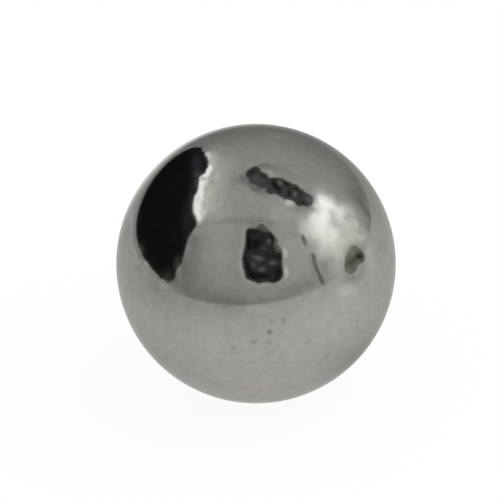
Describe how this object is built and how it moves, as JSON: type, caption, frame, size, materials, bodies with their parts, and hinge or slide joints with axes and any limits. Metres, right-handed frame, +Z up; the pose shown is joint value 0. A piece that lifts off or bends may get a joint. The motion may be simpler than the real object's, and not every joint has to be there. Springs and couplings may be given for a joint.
{
  "type": "steel ball",
  "caption": "Solid round steel ball, ground and lapped to a polished mirror finish, used as a rolling, dropping or striking weight.",
  "frame": {"origin": "centre of the ball", "axes": "+Z up, away from the surface that the ball sits on; the ball is the same about every axis"},
  "size_m": [0.019, 0.019, 0.019],
  "materials": {
    "lapped_steel": "lapped and polished bearing steel, a clear mirror with a faint haze, fine handling scratches and a few specks"
  },
  "bodies": {
    "root": {"ball": "lapped_steel"}
  },
  "joints": []
}
